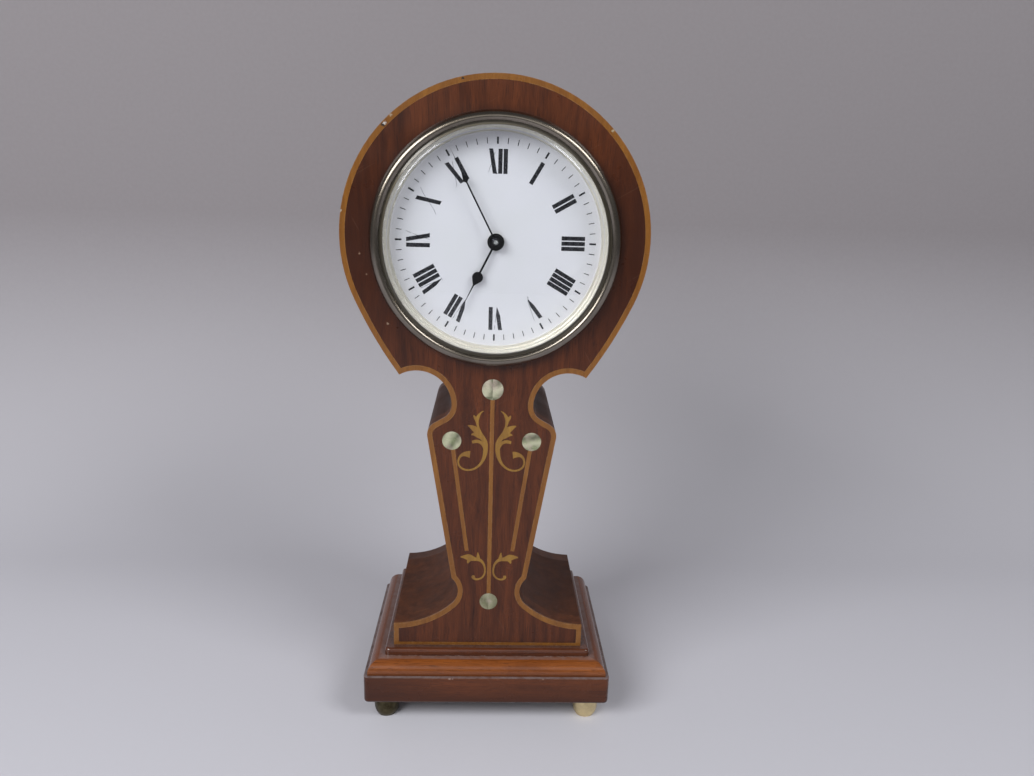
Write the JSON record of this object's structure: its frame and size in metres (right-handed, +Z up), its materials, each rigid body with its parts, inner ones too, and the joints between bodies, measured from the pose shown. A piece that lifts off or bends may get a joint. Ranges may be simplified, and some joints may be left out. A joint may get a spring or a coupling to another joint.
{
  "type": "balloon clock",
  "caption": "Balloon mantel clock: waisted inlaid mahogany case on a moulded plinth with bun feet, round dial in a bezel, drum movement wound from the back.",
  "frame": {"origin": "on the surface under the four feet, below the middle of the base board", "axes": "+Z up to the crown, -Y out of the dial, +X to the right of someone who reads the dial"},
  "size_m": [0.1348, 0.0936, 0.3],
  "materials": {
    "mahogany": "french polished, aged",
    "dark_wood": "polished",
    "moulding_wood": "glossy polish",
    "softwood": "bare",
    "boxwood": "polished inlay",
    "pearl": "pearly",
    "brass": "aged lacquer",
    "bezel_brass": "dull, worn",
    "steel": "polished",
    "blued_steel": "black",
    "enamel": "glazed",
    "glass": "clear"
  },
  "bodies": {
    "case": {"foot_buns": "brass", "base_board": "dark_wood", "ovolo_moulding": "moulding_wood", "plinth_core": "softwood", "plinth_step": "dark_wood", "plinth_fixings": "steel", "front_board": "dark_wood", "back_board": "dark_wood", "head_band": "mahogany", "side_bands": "mahogany", "glue_blocks": "softwood", "panel_veneer": "mahogany", "boxwood_stringing": "boxwood", "boxwood_scrolls": "boxwood", "pearl_discs": "pearl", "pillars": "brass", "movement_screws": "steel", "front_plate": "brass", "back_plate": "brass", "platform_plate": "brass", "escape_potence": "brass", "escape_bridge": "brass", "balance_cock": "brass", "hairspring": "blued_steel", "click_spring": "steel", "bezel": "bezel_brass", "glass": "glass", "sight_ring": "brass", "dial": "enamel", "dial_plate": "brass", "drum_case": "brass", "fixing_straps": "brass", "strap_screws": "steel", "rear_ring": "brass", "hinge_pin": "steel"},
    "centre": {"centre_wheel": "brass", "centre_arbor": "steel", "setting_knob": "brass", "cannon_pinion": "steel", "minute_hand": "blued_steel", "hand_collet": "steel"},
    "hour": {"hour_wheel": "brass", "hour_hand": "blued_steel"},
    "minute_work": {"minute_wheel": "brass"},
    "barrel": {"barrel": "brass", "barrel_cover": "brass", "mainspring": "steel"},
    "winding": {"barrel_arbor": "steel", "ratchet_wheel": "steel"},
    "intermediate": {"intermediate_wheel": "brass"},
    "third": {"third_wheel": "brass"},
    "fourth": {"fourth_wheel": "brass"},
    "escape": {"escape_wheel": "brass"},
    "lever": {"pallet_lever": "steel"},
    "balance": {"balance_wheel": "brass"},
    "index": {"regulator": "steel"},
    "click": {"click": "steel"},
    "door": {"rear_door": "brass", "door_knob": "brass"}
  },
  "joints": [
    {"name": "minute_hand_turn", "type": "hinge", "parent": "case", "child": "centre", "pos_m": [0, 0, 0.2311], "axis": [0, 1, 0], "continuous": true},
    {"name": "hour_hand_turn", "type": "hinge", "parent": "case", "child": "hour", "pos_m": [0, 0, 0.2311], "axis": [0, 1, 0], "continuous": true},
    {"name": "minute_wheel_turn", "type": "hinge", "parent": "case", "child": "minute_work", "pos_m": [-0.00919, 0, 0.23881], "axis": [0, 1, 0], "continuous": true},
    {"name": "third_wheel_turn", "type": "hinge", "parent": "case", "child": "third", "pos_m": [0.00777, 0, 0.2422], "axis": [0, 1, 0], "continuous": true},
    {"name": "fourth_wheel_turn", "type": "hinge", "parent": "case", "child": "fourth", "pos_m": [0.00341, 0, 0.25418], "axis": [0, 1, 0], "continuous": true},
    {"name": "escape_wheel_turn", "type": "hinge", "parent": "case", "child": "escape", "pos_m": [-0.00776, 0, 0.25011], "axis": [0, 1, 0], "continuous": true},
    {"name": "intermediate_wheel_turn", "type": "hinge", "parent": "case", "child": "intermediate", "pos_m": [0.00716, 0, 0.2193], "axis": [0, 1, 0], "continuous": true},
    {"name": "barrel_turn", "type": "hinge", "parent": "case", "child": "barrel", "pos_m": [-0.01205, 0, 0.2139], "axis": [0, 1, 0], "continuous": true},
    {"name": "winding_turn", "type": "hinge", "parent": "case", "child": "winding", "pos_m": [-0.01205, 0, 0.2139], "axis": [0, 1, 0], "continuous": true},
    {"name": "click_lift", "type": "hinge", "parent": "case", "child": "click", "pos_m": [-0.00107, 0, 0.22158], "axis": [0, 1, 0], "range_deg": [-6, 0]},
    {"name": "pallet_lever_rock", "type": "hinge", "parent": "case", "child": "lever", "pos_m": [-0.00941, 0, 0.24393], "axis": [0, 1, 0], "range_deg": [-5, 5]},
    {"name": "balance_swing", "type": "hinge", "parent": "case", "child": "balance", "pos_m": [-0.01102, 0, 0.23794], "axis": [0, 1, 0], "range_deg": [-220, 220]},
    {"name": "regulator_swing", "type": "hinge", "parent": "case", "child": "index", "pos_m": [-0.01102, 0, 0.23794], "axis": [0, 1, 0], "range_deg": [-20, 20]},
    {"name": "rear_door_hinge", "type": "hinge", "parent": "case", "child": "door", "pos_m": [-0.051, 0.0445, 0.2311], "axis": [0, 0, 1], "range_deg": [0, 115]}
  ],
  "couplings": [
    {"joint": "hour_hand_turn", "follows": "minute_hand_turn", "ratio": 0.083333},
    {"joint": "minute_wheel_turn", "follows": "minute_hand_turn", "ratio": -0.33333},
    {"joint": "third_wheel_turn", "follows": "minute_hand_turn", "ratio": -8},
    {"joint": "fourth_wheel_turn", "follows": "minute_hand_turn", "ratio": 60},
    {"joint": "escape_wheel_turn", "follows": "minute_hand_turn", "ratio": -600},
    {"joint": "intermediate_wheel_turn", "follows": "minute_hand_turn", "ratio": -0.2},
    {"joint": "barrel_turn", "follows": "minute_hand_turn", "ratio": 0.022222}
  ]
}
